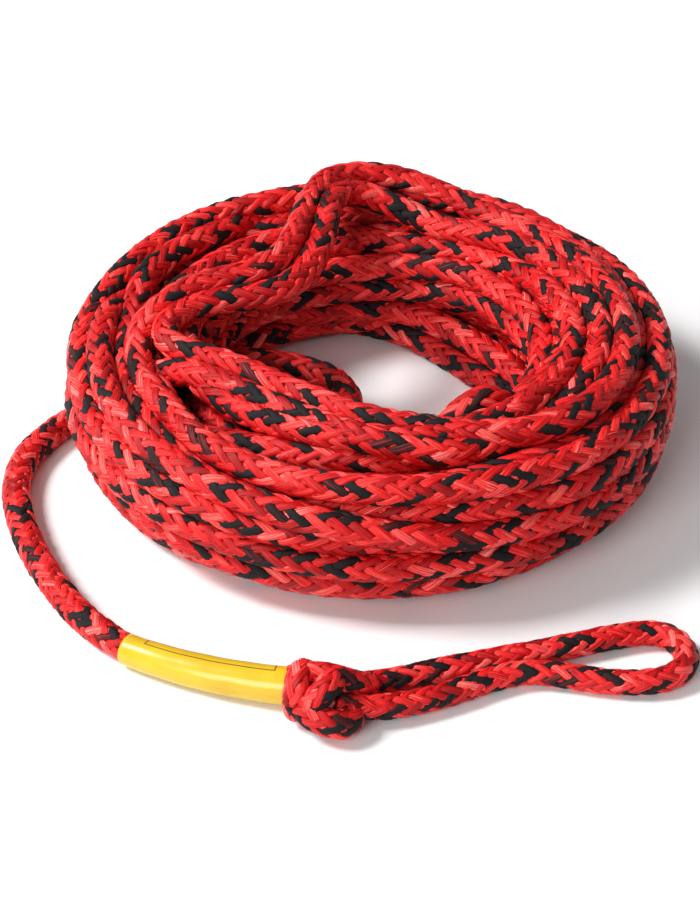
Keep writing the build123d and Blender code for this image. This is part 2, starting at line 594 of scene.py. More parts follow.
class Nodes:
    """Short ways to add and join shader nodes in one material."""

    def __init__(self, name: str) -> None:
        """Start an empty node material with a Principled shader.

        Args:
            name: the material's name.
        """
        self.material = bpy.data.materials.new(name)
        self.material.use_nodes = True
        self.tree = self.material.node_tree
        self.shader = self.tree.nodes["Principled BSDF"]

    def add(self, kind: str, **settings: object) -> bpy.types.Node:
        """Add a node and set its options.

        Args:
            kind: the node's type name.
            settings: options of the node, by name.

        Returns:
            The new node.
        """
        node = self.tree.nodes.new(kind)
        for key, value in settings.items():
            setattr(node, key, value)
        return node

    def link(self, source: Socket, target: Socket) -> None:
        """Join two sockets."""
        self.tree.links.new(source, target)

    def feed(self, target: Socket, value: Socket | float | tuple) -> None:
        """Give an input a link or a constant.

        Args:
            target: the input.
            value: a socket to link, or a number or colour to set.
        """
        if isinstance(value, Socket):
            self.link(value, target)
        else:
            target.default_value = (*value, 1.0) if isinstance(value, tuple) else value

    def math(self, operation: str, first: Socket | float, second: Socket | float,
             clamp: bool = False) -> Socket:
        """Add a Math node whose inputs are sockets or numbers.

        Args:
            operation: the node's operation.
            first: a socket or a number.
            second: a socket or a number.
            clamp: whether the result stays between 0 and 1.

        Returns:
            The node's output.
        """
        node = self.add("ShaderNodeMath", operation=operation, use_clamp=clamp)
        self.feed(node.inputs[0], first)
        self.feed(node.inputs[1], second)
        return node.outputs[0]

    def ramp(self, source: Socket, stops: tuple[tuple[float, Colour], ...]) -> Socket:
        """Add a colour ramp.

        Args:
            source: what drives the ramp.
            stops: places and their colours.

        Returns:
            The ramp's colour.
        """
        node = self.add("ShaderNodeValToRGB")
        elements = node.color_ramp.elements
        while len(elements) < len(stops):
            elements.new(0.5)
        for element, (place, colour) in zip(elements, stops):
            element.position = place
            element.color = (*colour, 1.0)
        self.link(source, node.inputs[0])
        return node.outputs[0]

    def mix(self, share: Socket | float, first: Socket | Colour, second: Socket | Colour) -> Socket:
        """Add a colour mix.

        Args:
            share: how much of the second colour, a socket or a number.
            first: a colour or a socket.
            second: a colour or a socket.

        Returns:
            The mixed colour.
        """
        node = self.add("ShaderNodeMix", data_type="RGBA")
        for slot, value in ((0, share), (6, first), (7, second)):
            self.feed(node.inputs[slot], value)
        return node.outputs[2]

    def noise(self, place: Socket, scale: float, detail: float = 2.0, roughness: float = 0.5) -> Socket:
        """Add a noise texture.

        Args:
            place: where the noise is read.
            scale: how fine it is.
            detail: how many finer layers it has.
            roughness: how strong the finer layers are.

        Returns:
            The noise, between 0 and 1.
        """
        node = self.add("ShaderNodeTexNoise")
        for name, value in (("Scale", scale), ("Detail", detail), ("Roughness", roughness)):
            node.inputs[name].default_value = value
        self.link(place, node.inputs["Vector"])
        return node.outputs[0]

    def bump(self, height: Socket, strength: float, distance: float) -> None:
        """Raise the surface by a texture.

        Args:
            height: the texture.
            strength: how much of the effect shows.
            distance: the height of the relief.
        """
        node = self.add("ShaderNodeBump")
        node.inputs["Strength"].default_value = strength
        node.inputs["Distance"].default_value = distance
        self.link(height, node.inputs["Height"])
        self.link(node.outputs[0], self.shader.inputs["Normal"])

    def strand_place(self) -> tuple[Socket, Socket]:
        """Read the place across and along a strand or round and along the sleeve.

        Returns:
            The place across, and the place along.
        """
        place = self.add("ShaderNodeUVMap", uv_map=STRAND_MAP)
        split = self.add("ShaderNodeSeparateXYZ")
        self.link(place.outputs[0], split.inputs[0])
        return split.outputs[0], split.outputs[1]

    def object_place(self) -> Socket:
        """Read the place in the object's own space."""
        return self.add("ShaderNodeTexCoord").outputs["Object"]


@dataclass(frozen=True)
class BraidFinish:
    """Red polyethylene filaments laid along each strand, with black tracer flecks."""

    reds: tuple[tuple[float, Colour], ...] = (
        (0.31, (0.26, 0.0008, 0.0015)),
        (0.45, (0.52, 0.003, 0.005)),
        (0.54, (0.80, 0.006, 0.008)),
        (0.65, (0.93, 0.045, 0.04)),
        (0.80, (1.0, 0.26, 0.23)),
    )
    blacks: tuple[tuple[float, Colour], ...] = (
        (0.45, (0.002, 0.002, 0.0025)),
        (0.75, (0.02, 0.010, 0.012)),
    )
    filaments: float = 15.0
    filament_run: float = 60.0
    filament_layers: float = 3.0
    filament_contrast: float = 0.6
    tone_offset: float = 3.0
    tone_share: float = 0.16
    fleck_raggedness: float = 0.9
    fleck_edge: float = 0.93
    fleck_sharpness: float = 6.0
    roughness: float = 0.42
    roughness_spread: float = 0.22
    fleck_roughness: float = 0.25
    specular: float = 0.28
    bump_strength: float = 0.7
    bump_height: float = 0.0005

    def material(self) -> bpy.types.Material:
        """Make the strands' material.

        Returns:
            The material.
        """
        nodes = Nodes("braid")
        across, along = nodes.strand_place()
        tone = nodes.add("ShaderNodeAttribute", attribute_name="tone").outputs["Fac"]
        tracer = nodes.add("ShaderNodeAttribute", attribute_name="tracer").outputs["Fac"]
        joined = nodes.add("ShaderNodeCombineXYZ")
        nodes.link(nodes.math("MULTIPLY", across, self.filaments), joined.inputs[0])
        nodes.link(nodes.math("MULTIPLY", along, self.filament_run), joined.inputs[1])
        nodes.link(nodes.math("MULTIPLY", tone, self.tone_offset), joined.inputs[2])
        streaks = nodes.noise(joined.outputs[0], 1.0, self.filament_layers, self.filament_contrast)
        shade = nodes.math("ADD", streaks, nodes.math("MULTIPLY", tone, self.tone_share))
        ragged = nodes.math("ADD", tracer, nodes.math("MULTIPLY", streaks, self.fleck_raggedness))
        past_edge = nodes.math("SUBTRACT", ragged, self.fleck_edge)
        fleck = nodes.math("MULTIPLY", past_edge, self.fleck_sharpness, clamp=True)
        colour = nodes.mix(fleck, nodes.ramp(shade, self.reds), nodes.ramp(streaks, self.blacks))
        nodes.link(colour, nodes.shader.inputs["Base Color"])
        nodes.bump(streaks, self.bump_strength, self.bump_height)
        least = self.roughness - self.roughness_spread / 2.0
        rough = nodes.math("ADD", nodes.math("MULTIPLY", streaks, self.roughness_spread), least)
        rough = nodes.math("ADD", rough, nodes.math("MULTIPLY", fleck, self.fleck_roughness))
        nodes.link(rough, nodes.shader.inputs["Roughness"])
        nodes.shader.inputs["Specular IOR Level"].default_value = self.specular
        return nodes.material


@dataclass(frozen=True)
class CoreFinish:
    """The inside of the hollow braid, seen between the strands, coloured near black as painted shade."""

    # Near-black reds: painted shade for the gaps between the strands, not the yarn's own colour.
    painted_shade_darks: tuple[tuple[float, Colour], ...] = (
        (0.35, (0.02, 0.0, 0.0005)),
        (0.7, (0.08, 0.0005, 0.001)),
    )
    grain: float = 900.0
    roughness: float = 0.7

    def material(self) -> bpy.types.Material:
        """Make the material of the rope's inside.

        Returns:
            The material.
        """
        nodes = Nodes("braid_inside")
        grain = nodes.noise(nodes.object_place(), self.grain)
        # Painted shade: the near-black ramp over the whole inside.
        nodes.link(nodes.ramp(grain, self.painted_shade_darks), nodes.shader.inputs["Base Color"])
        nodes.shader.inputs["Roughness"].default_value = self.roughness
        return nodes.material


@dataclass(frozen=True)
class SleeveFinish:
    """Glossy yellow shrink tube with a thin printed border, bare inside it."""

    yellows: tuple[tuple[float, Colour], ...] = (
        (0.3, (0.62, 0.40, 0.010)),
        (0.62, (0.68, 0.47, 0.016)),
    )
    mottle: float = 60.0
    mottle_layers: float = 3.0
    ink: Colour = (0.10, 0.035, 0.010)
    ink_share: float = 0.85
    border_along: tuple[float, float] = (0.13, 0.93)
    border_across: tuple[float, float] = (0.235, 0.335)
    line_along: float = 0.0085
    line_across: float = 0.0115
    grain: float = 260.0
    bump_strength: float = 0.12
    bump_height: float = 0.0004
    roughness: float = 0.27
    coat: float = 0.2
    coat_roughness: float = 0.12

    def material(self) -> bpy.types.Material:
        """Make the sleeve's material.

        Returns:
            The material.
        """
        nodes = Nodes("sleeve_yellow")
        around, along = nodes.strand_place()
        outer = self.inside(nodes, along, around, 0.0)
        inner = self.inside(nodes, along, around, 1.0)
        border = nodes.math("SUBTRACT", outer, inner, clamp=True)
        place = nodes.object_place()
        body = nodes.ramp(nodes.noise(place, self.mottle, self.mottle_layers), self.yellows)
        colour = nodes.mix(nodes.math("MULTIPLY", border, self.ink_share), body, self.ink)
        nodes.link(colour, nodes.shader.inputs["Base Color"])
        nodes.bump(nodes.noise(place, self.grain), self.bump_strength, self.bump_height)
        nodes.shader.inputs["Roughness"].default_value = self.roughness
        nodes.shader.inputs["Coat Weight"].default_value = self.coat
        nodes.shader.inputs["Coat Roughness"].default_value = self.coat_roughness
        return nodes.material

    def inside(self, nodes: Nodes, along: Socket, around: Socket, inset: float) -> Socket:
        """Tell whether a place is inside the border's outer or inner edge.

        Args:
            nodes: the material being built.
            along: the place along the sleeve.
            around: the place round the sleeve.
            inset: 0 for the border's outer edge, 1 for its inner edge.

        Returns:
            A socket that is 1 inside and 0 outside.
        """
        result = 1.0
        for place, (low, high), line in (
            (along, self.border_along, self.line_along),
            (around, self.border_across, self.line_across),
        ):
            above = nodes.math("GREATER_THAN", place, low + inset * line)
            below = nodes.math("LESS_THAN", place, high - inset * line)
            result = nodes.math("MULTIPLY", result, nodes.math("MULTIPLY", above, below))
        return result


@dataclass(frozen=True)
class FloorFinish:
    """Plain pale floor."""

    colour: Colour = (0.93, 0.93, 0.93)
    roughness: float = 0.85
    specular: float = 0.1

    def material(self) -> bpy.types.Material:
        """Make the floor's material.

        Returns:
            The material.
        """
        nodes = Nodes("floor_pale")
        nodes.shader.inputs["Base Color"].default_value = (*self.colour, 1.0)
        nodes.shader.inputs["Roughness"].default_value = self.roughness
        nodes.shader.inputs["Specular IOR Level"].default_value = self.specular
        return nodes.material


# ---------------------------------------------------------------- the braid


@dataclass
class Lay:
    """How a rope lies: its line, what presses it, and its thickness and turn along it."""

    line: Line
    squash: Squash
    girth: np.ndarray
    turning: np.ndarray


@dataclass
class Braid:
    """A hollow braid: two crossing families of strands, over two and under two."""

    strands_each_way: int = 8
    pitch: float = 0.061
    end_pitch: float = 0.044
    end_run: float = 0.34
    pitch_change_run: float = 0.1
    middle_r: float = 0.00495
    swing: float = 0.00032
    swing_sharpness: float = 1.3
    crown: float = 0.00054
    fill: float = 1.08
    section: tuple[tuple[float, float], ...] = (
        (-1.0, -0.25), (-0.62, 0.62), (0.0, 1.0), (0.62, 0.62), (1.0, -0.25), (0.0, -0.45)
    )
    section_map: tuple[float, ...] = (0.0, 0.19, 0.5, 0.81, 1.0, 0.5, 0.0)
    core_r: float = 0.0045
    core_sides: int = 10
    wander_run: float = 0.011
    fill_wander: float = 0.13
    turn_wander: float = 0.08
    crown_wander: float = 0.30
    swing_wander: float = 0.35
    turning_run: float = 0.09
    tone_run: float = 0.02
    tone_spread: float = 0.5
    tracers: tuple[tuple[Hand, int], ...] = (
        (Hand.LEFT, 0), (Hand.LEFT, 1), (Hand.LEFT, 5), (Hand.RIGHT, 2), (Hand.RIGHT, 4), (Hand.RIGHT, 5)
    )
    fleck_share: float = 0.6
    fleck_depth: tuple[float, float] = (0.65, 1.0)
    seed: int = 11

    def yarn(self, hand: Hand, index: int) -> Yarn:
        """Which yarn a strand is made of."""
        return Yarn.TRACER if (hand, index) in self.tracers else Yarn.PLAIN

    def every_strand(self) -> list[tuple[Hand, int]]:
        """All strands, each by its hand and its number in its family."""
        return [(hand, index) for hand in Hand for index in range(self.strands_each_way)]

    def strand(self, parts: MeshParts, lay: Lay, hand: Hand, index: int, rows: tuple[int, int]) -> None:
        """Add one strand to a piece.

        Args:
            parts: the piece being built.
            lay: how the rope lies.
            hand: which way the strand winds.
            index: which strand of its family it is.
            rows: the bake map's first free row, and its number of rows.
        """
        line = lay.line
        rng = np.random.default_rng(self.seed + 100 * index + (50 if hand is Hand.LEFT else 0))
        count, step = len(line.points), line.spacing()
        turn = WHOLE_TURN * (index / self.strands_each_way + hand.value * self.turns(line))
        phase = turn * self.strands_each_way / math.pi
        wave = np.cos((phase - 0.5) * math.pi / 2.0) * hand.value
        wander = smooth_noise(rng, count, self.wander_run / step, 4)
        over = np.tanh(self.swing_sharpness * wave) / math.tanh(self.swing_sharpness)
        over = over + self.swing_wander * wander[:, 3]
        half_angle = math.pi / self.strands_each_way * self.fill * (1.0 + self.fill_wander * wander[:, 0])
        places, heights = np.array(self.section).T
        middle = turn + lay.turning + self.turn_wander * wander[:, 1]
        angle = middle[:, None] + half_angle[:, None] * places
        crown = self.crown * (1.0 + self.crown_wander * wander[:, 2])
        radius = (self.middle_r + self.swing * over)[:, None] + crown[:, None] * heights
        offsets = line.around(angle, radius * lay.girth[:, None])
        rings = line.points[:, None, :] + lay.squash.press(offsets)
        tone = smooth_noise(rng, count, self.tone_run / step, 1)[:, 0]
        tone = tone + self.tone_spread * rng.uniform(-1.0, 1.0)
        across = np.array(self.section_map) + index
        parts.add(rings, across, line.along, self.flecks(hand, index, phase), tone, rows)

    def flecks(self, hand: Hand, index: int, phase: np.ndarray) -> np.ndarray:
        """Blacken a tracer strand where it floats over its neighbours, on a share of the floats.

        Args:
            hand: which way the strand winds.
            index: which strand of its family it is.
            phase: how many strands it has crossed, along the line.

        Returns:
            How black the strand is along the line, from 0 to 1.
        """
        if self.yarn(hand, index) is Yarn.PLAIN:
            return np.zeros(len(phase))
        float_centre = 1.5 - hand.value
        floats = np.round((phase - float_centre) / 4.0 * hand.value).astype(int)
        floats = floats - floats.min()
        shared = np.random.default_rng(self.seed + index // 2 + (7 if hand is Hand.LEFT else 0))
        picked = shared.uniform(0.0, 1.0, floats.max() + 1) < self.fleck_share
        return np.where(picked, shared.uniform(*self.fleck_depth, len(picked)), 0.0)[floats]

    def turns(self, line: Line) -> np.ndarray:
        """Count how often a strand has gone round the rope, more tightly near its end.

        Args:
            line: the rope's centre line.

        Returns:
            Turns at each of the line's points.
        """
        near_end = np.clip((line.along - line.length() + self.end_run) / self.pitch_change_run, 0.0, 1.0)
        rate = (1.0 - near_end) / self.pitch + near_end / self.end_pitch
        return np.cumsum(rate) * line.length() / (len(rate) - 1)

    def lay(self, line: Line, squash: Squash, girth: np.ndarray, turn: float) -> Lay:
        """Lay the braid along a line, with a slow random turn round it.

        Args:
            line: the rope's centre line.
            squash: the contacts that press the rope.
            girth: the rope's thickness along the line, as a share of its usual one.
            turn: how far the braid turns at random, in radians.

        Returns:
            How the rope lies.
        """
        rng = np.random.default_rng(self.seed)
        waves = smooth_noise(rng, len(line.points), self.turning_run / line.spacing(), 1)
        return Lay(line, squash, girth, turn * waves[:, 0])

    def separate_strands(self, name: str, lay: Lay) -> list[bpy.types.Object]:
        """Build each strand as a piece of its own.

        Args:
            name: the start of the pieces' names.
            lay: how the rope lies.

        Returns:
            The strands.
        """
        made = []
        for hand, index in self.every_strand():
            parts = MeshParts()
            self.strand(parts, lay, hand, index, (0, rows_needed(len(lay.line.points))))
            made.append(parts.piece(f"{name}_{hand.name.lower()}_{index + 1}"))
        return made

    def joined_strands(self, name: str, lay: Lay) -> bpy.types.Object:
        """Build all strands of a short stretch as one piece.

        Args:
            name: the piece's name.
            lay: how the rope lies.

        Returns:
            The piece.
        """
        parts = MeshParts()
        each = rows_needed(len(lay.line.points))
        strands = self.every_strand()
        for number, (hand, index) in enumerate(strands):
            self.strand(parts, lay, hand, index, (number * each, len(strands) * each))
        return parts.piece(name)

    def core(self, name: str, lay: Lay, thin: int = 1) -> bpy.types.Object:
        """Build the round inside that shows between the strands.

        Args:
            name: the piece's name.
            lay: how the rope lies.
            thin: use every such point of the line.

        Returns:
            The piece.
        """
        line = lay.line
        angle = np.linspace(0.0, WHOLE_TURN, self.core_sides, endpoint=False)[None, :, None]
        keep = np.unique(np.append(np.arange(0, len(line.points), thin), len(line.points) - 1))
        offsets = np.cos(angle) * line.side[keep][:, None, :]
        offsets = offsets + np.sin(angle) * line.top[keep][:, None, :]
        offsets = offsets * (self.core_r * lay.girth[keep][:, None, None])
        pressed = Squash(lay.squash.normals[keep], lay.squash.limits[keep]).press(offsets)
        parts = MeshParts()
        across = np.linspace(0.0, 1.0, self.core_sides + 1)
        flat = np.zeros(len(keep))
        parts.add(line.points[keep][:, None, :] + pressed, across, line.along[keep], flat, flat,
                  (0, rows_needed(len(keep))))
        return parts.piece(name)


# ---------------------------------------------------------------- the coil


@dataclass
class Coil:
    """The hand-wound coil: turns that lie on and beside each other, uneven and crossing."""

    mean_r: float
    width: float
    height: float
    rope_d: float = 0.0103
    turns: int = 30
    stations: int = 24
    start_angle: float = math.radians(144.0)
    lattice_reach: int = 4
    layers: int = 4
    layer_share: float = 3.6
    first_place: float = math.radians(-50.0)
    corner_power: float = 2.6
    wander: float = 0.0105
    slow_waves: float = 1.7
    quick_waves: float = 4.0
    quick_share: float = 0.5
    roll: float = 0.75
    roll_middle: float = math.radians(220.0)
    rounds: int = 260
    first_smoothing: float = 0.35
    last_smoothing: float = 0.05
    push_share: float = 0.42
    pull_share: float = 0.6
    sag: float = 0.00002
    seed: int = 5

    def lattice(self) -> np.ndarray:
        """Places of the turns in the coil's section, in the order in which they are wound.

        Returns:
            One row per turn: out from the section's middle, and up from it.
        """
        rise = self.rope_d * math.sqrt(3.0) / 2.0
        places = range(-self.lattice_reach, self.lattice_reach + 1)
        found = []
        for row in places:
            for column in places:
                across, up = (column + 0.5 * (row % 2)) * self.rope_d, row * rise
                found.append((self.fullness(across, up), across, up))
        layers = [[] for _ in range(self.layers)]
        for fullness, across, up in sorted(found)[: self.turns]:
            layer = min(self.layers - 1, int(math.sqrt(fullness) * self.layer_share))
            layers[layer].append((math.atan2(up, across), across, up))
        begin = self.first_place + self.rolled(self.start_angle)
        ordered = []
        for layer in layers:
            layer.sort(key=lambda item: (item[0] - begin) % WHOLE_TURN, reverse=True)
            ordered.extend((across, up) for _, across, up in layer)
        return np.array(ordered)

    def rolled(self, angle: float) -> float:
        """How far the bundle of turns is rolled outwards at an angle round the coil."""
        return self.roll * math.sin(angle - self.roll_middle)

    def half_section(self) -> tuple[float, float]:
        """Half the width and half the height that the turns' centres may fill."""
        return self.width / 2.0 - self.rope_d / 2.0, self.height / 2.0 - self.rope_d / 2.0

    def fullness(self, across: float | np.ndarray, up: float | np.ndarray) -> float | np.ndarray:
        """Tell how far out a place lies in the coil's rounded section.

        Args:
            across: the place outwards from the section's middle.
            up: the place above it.

        Returns:
            0 in the middle and 1 on the section's edge.
        """
        half_width, half_height = self.half_section()
        return abs(across / half_width) ** self.corner_power + abs(up / half_height) ** self.corner_power

    def wound(self) -> np.ndarray:
        """Wind the turns through the lattice, and let them wander and roll.

        Returns:
            Places in the section, as turns by stations by 2.
        """
        rng = np.random.default_rng(self.seed)
        base = self.lattice()
        total = self.turns * self.stations
        share = np.arange(self.stations)[None, :, None] / self.stations
        onward = np.vstack([base[1:], base[-1:]])
        place = base[:, None, :] * (1.0 - share) + onward[:, None, :] * share
        waves = smooth_noise(rng, total, self.stations / self.slow_waves, 2)
        waves = waves + self.quick_share * smooth_noise(rng, total, self.stations / self.quick_waves, 2)
        place = place + self.wander * waves.reshape(self.turns, self.stations, 2)
        angles = [self.start_angle + WHOLE_TURN * k / self.stations for k in range(self.stations)]
        rolls = [self.rolled(angle) for angle in angles]
        cosine, sine = np.cos(rolls)[None, :], np.sin(rolls)[None, :]
        across, up = place[..., 0], place[..., 1]
        return np.stack([across * cosine + up * sine, up * cosine - across * sine], axis=2)

    def relaxed(self) -> np.ndarray:
        """Settle the wound turns against each other, inside the coil's section.

        Returns:
            Places in the section, as turns by stations by 2.
        """
        place = self.wound()
        own = np.arange(self.turns)
        _, half_height = self.half_section()
        for turn_round in range(self.rounds):
            line = place.reshape(-1, 2)
            smooth = line.copy()
            smooth[1:-1] = 0.5 * line[1:-1] + 0.25 * (line[:-2] + line[2:])
            ease = self.first_smoothing * (1.0 - turn_round / self.rounds) + self.last_smoothing
            place = (line + ease * (smooth - line)).reshape(place.shape)
            apart = place[:, None] - place[None, :]
            distance = np.sqrt((apart**2).sum(3)) + 1e-9
            short = np.maximum(self.rope_d - distance, 0.0)
            short[own, own] = 0.0
            push = (apart / distance[..., None]) * short[..., None]
            place = place + self.push_share * push.sum(1)
            out = self.fullness(place[..., 0], place[..., 1])
            scale = np.where(out > 1.0, out ** (-1.0 / self.corner_power), 1.0)
            place = place * (1.0 - self.pull_share * (1.0 - scale[..., None]))
            place[..., 1] = np.maximum(place[..., 1] - self.sag, -half_height)
        return place

    def control_points(self) -> np.ndarray:
        """The coil's control points, from the hidden inner end to the free lead.

        A spline of this order runs inside its control points, so they stand a little further out.

        Returns:
            One row per point, turn after turn.
        """
        place = self.relaxed()
        angle = self.start_angle + WHOLE_TURN * np.arange(self.stations) / self.stations
        outwards = 1.0 / (0.75 + 0.25 * math.cos(WHOLE_TURN / self.stations))
        radius = (self.mean_r + place[..., 0]) * outwards
        height = self.height / 2.0 + place[..., 1]
        return np.stack([radius * np.cos(angle), radius * np.sin(angle), height], axis=2)


@dataclass(frozen=True)
class LooseStretch:
    """A stretch of given points that takes the place of part of a wound turn."""

    lap: int
    points: list[Point]
    clear: float = math.radians(12.0)

    def span(self, start_angle: float) -> tuple[float, float]:
        """Where the stretch begins and ends, as angles that grow from lap to lap.

        Args:
            start_angle: the angle at which the first lap begins.

        Returns:
            The first and last angle, in radians.
        """
        first = math.atan2(self.points[0][1], self.points[0][0])
        last = math.atan2(self.points[-1][1], self.points[-1][0])
        begin = start_angle + self.lap * WHOLE_TURN + (first - start_angle) % WHOLE_TURN
        return begin, begin + (last - first) % WHOLE_TURN


# ---------------------------------------------------------------- sub-assemblies


@dataclass
class TowRope:
    """The rope from its hidden inner end through the coil, the free lead and the sleeve."""

    length: float = 18.0
    diameter: float = 0.0105
    lying_d: float = 0.010
    coil_width: float = 0.060
    step: float = 0.0018
    path_stride: int = 3
    touch_reach: float = 0.0135
    most_contacts: int = 8
    free_girth: float = 1.01
    girth_wander: float = 0.035
    girth_run: float = 0.05
    mouth_girth: float = 0.90
    splice_swell: float = 0.12
    mouth_run: float = 0.012
    turn: float = 0.6
    braid: Braid = field(default_factory=Braid)
    loose: tuple[LooseStretch, ...] = (
        LooseStretch(19, FLOOR_TURN_POINTS),
        LooseStretch(20, WALL_TURN_POINTS),
        LooseStretch(20, INNER_TURN_POINTS),
        LooseStretch(22, INNER_BIGHT_POINTS),
        LooseStretch(23, SHOULDER_TURN_POINTS),
        LooseStretch(23, RIM_TURN_POINTS),
        LooseStretch(24, TOP_TURN_POINTS),
    )
    line: Line | None = None
    pieces: list[bpy.types.Object] = field(default_factory=list)

    def coil(self) -> Coil:
        """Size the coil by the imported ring.

        Returns:
            The coil.
        """
        low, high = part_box("main_coil")
        outer = (high.x - low.x) / 2.0
        return Coil(outer - self.coil_width / 2.0, self.coil_width, high.z - low.z)

    def control_points(self) -> np.ndarray:
        """Join the coil's turns, the loose stretches, the free lead and the sleeve's line.

        Returns:
            The control points of the rope's line, one per row.
        """
        coil = self.coil()
        wound = coil.control_points().reshape(-1, 3)
        angles = coil.start_angle + WHOLE_TURN * np.arange(len(wound)) / coil.stations
        route: list[np.ndarray] = []
        done = -math.inf
        for stretch in sorted(self.loose, key=lambda item: item.span(coil.start_angle)[0]):
            begin, end = stretch.span(coil.start_angle)
            route.extend(wound[(angles > done) & (angles < begin - stretch.clear)])
            route.extend(raised(stretch.points, coil.height))
            done = end + stretch.clear
        route.extend(wound[angles > done])
        route.extend(raised(LEAD_POINTS, self.lying_d / 2.0))
        route.extend(LabelSleeve().axis_points())
        return np.array(route)

    def girth(self, line: Line) -> np.ndarray:
        """Thin the rope at the sleeve's mouth and swell it towards the knot.

        Args:
            line: the rope's centre line.

        Returns:
            The thickness at each of the line's points, as a share of the usual one.
        """
        sleeve = LabelSleeve()
        past_sleeve = line.length() - line.along - sleeve.into_knot - sleeve.length
        rng = np.random.default_rng(self.braid.seed)
        uneven = smooth_noise(rng, len(line.points), self.girth_run / self.step)[:, 0]
        gain = self.free_girth - self.mouth_girth + self.girth_wander * uneven
        free = self.mouth_girth + gain * np.clip(past_sleeve / self.mouth_run, 0.0, 1.0)
        swell = np.clip(-past_sleeve / sleeve.length, 0.0, 1.0)
        return np.where(past_sleeve < 0.0, self.mouth_girth + self.splice_swell * swell, free)

    def build(self) -> None:
        """Build the rope's inside and its strands."""
        self.line = Line(follow_spline("rope_route", self.control_points(), self.step))
        squash = Squash.between_passes(self.line, self.touch_reach, self.most_contacts)
        lay = self.braid.lay(self.line, squash, self.girth(self.line), self.turn)
        self.pieces = [self.braid.core("rope_inside", lay, thin=2)]
        self.pieces.extend(self.braid.separate_strands("rope_strand", lay))
        LOG.info("rope: %.2f m, %d pieces", self.line.length(), len(self.pieces))

    def dress(self, braid: bpy.types.Material, inside: bpy.types.Material) -> None:
        """Give the strands and the inside their finishes.

        Args:
            braid: the strands' finish.
            inside: the finish of the rope's inside.
        """
        self.pieces[0].data.materials.append(inside)
        for strand in self.pieces[1:]:
            strand.data.materials.append(braid)

    def declare(self) -> None:
        """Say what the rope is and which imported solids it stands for."""
        core = self.pieces[0]
        for strand in self.pieces[1:]:
            strand.parent = core
        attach(core, BODY)
        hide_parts("main_coil", "coil_top_turn", "coil_inner_turn", "coil_inner_bight", "lead_rope")


@dataclass
class LooseFibres:
    """Fine broken filaments that stand a little way off the rope's surface."""

    count: int = 420
    stations: int = 9
    thickness: float = 0.00014
    run: float = 0.013
    run_spread: tuple[float, float] = (0.5, 1.2)
    most_turn: float = 1.6
    root: float = 0.0004
    lift: float = 0.0019
    lift_spread: tuple[float, float] = (0.2, 1.0)
    landing: float = 0.9
    tones: tuple[float, float] = (-1.0, 2.0)
    black_share: float = 0.3
    clear_ends: tuple[int, int] = (200, 60)
    lowest: float = 0.012
    seed: int = 71
    piece: bpy.types.Object | None = None

    def build(self, line: Line, surface_r: float) -> None:
        """Scatter the fibres along a rope.

        Args:
            line: the rope's centre line.
            surface_r: the rope's outside radius.
        """
        rng = np.random.default_rng(self.seed)
        parts = MeshParts()
        share = np.linspace(0.0, 1.0, self.stations)
        arch = np.sin(math.pi * share * self.landing)
        corners = np.radians([90.0, 210.0, 330.0])
        first, from_end = self.clear_ends
        for place in rng.integers(first, len(line.points) - from_end, self.count):
            if line.points[place, 2] < self.lowest:
                continue
            side, top, onward = line.side[place], line.top[place], line.tangent[place]
            reach = self.run * rng.uniform(*self.run_spread)
            start, turn = rng.uniform(0.0, WHOLE_TURN), rng.uniform(-self.most_turn, self.most_turn)
            around = start + turn * share
            height = surface_r - self.root + (self.lift * rng.uniform(*self.lift_spread)) * arch
            out = np.cos(around)[:, None] * side + np.sin(around)[:, None] * top
            middle = line.points[place] + onward * (reach * (share - 0.5))[:, None]
            middle = middle + out * height[:, None]
            ring = np.cos(corners)[:, None] * top + np.sin(corners)[:, None] * onward
            rings = middle[:, None, :] + ring[None, :, :] * self.thickness
            tone = np.full(len(share), rng.uniform(*self.tones))
            black = np.full(len(share), float(rng.uniform() < self.black_share))
            parts.add_open(rings, black, tone)
        self.piece = parts.piece("loose_fibres")
        LOG.info("loose fibres: %d at the most", self.count)

    def dress(self, braid: bpy.types.Material) -> None:
        """Give the fibres the strands' finish."""
        self.piece.data.materials.append(braid)

    def declare(self, rope: bpy.types.Object) -> None:
        """Let the fibres go with the rope they come from."""
        self.piece.parent = rope


@dataclass
class TowEye:
    """The eye's two legs and tip, lying flat."""

    length: float = 0.27
    diameter: float = 0.0094
    step: float = 0.0012
    girth: float = 0.84
    turn: float = 0.5
    braid: Braid = field(default_factory=lambda: Braid(pitch=0.050, end_pitch=0.050, seed=23))
    line: Line | None = None
    pieces: list[bpy.types.Object] = field(default_factory=list)

    def build(self) -> None:
        """Build the eye's inside and strands."""
        control = raised(EYE_POINTS, self.diameter / 2.0)
        self.line = Line(follow_spline("eye_route", control, self.step))
        girth = np.full(len(self.line.points), self.girth)
        lay = self.braid.lay(self.line, Squash.on_floor(self.line), girth, self.turn)
        self.pieces = [self.braid.core("eye_inside", lay), self.braid.joined_strands("eye_strands", lay)]
        LOG.info("tow eye: %.3f m", self.line.length())

    def dress(self, braid: bpy.types.Material, inside: bpy.types.Material) -> None:
        """Give the eye its finishes."""
        self.pieces[0].data.materials.append(inside)
        self.pieces[1].data.materials.append(braid)

    def declare(self) -> None:
        """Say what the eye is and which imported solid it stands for."""
        core, strands = self.pieces
        strands.parent = core
        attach(core, BODY)
        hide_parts("eye_loop")


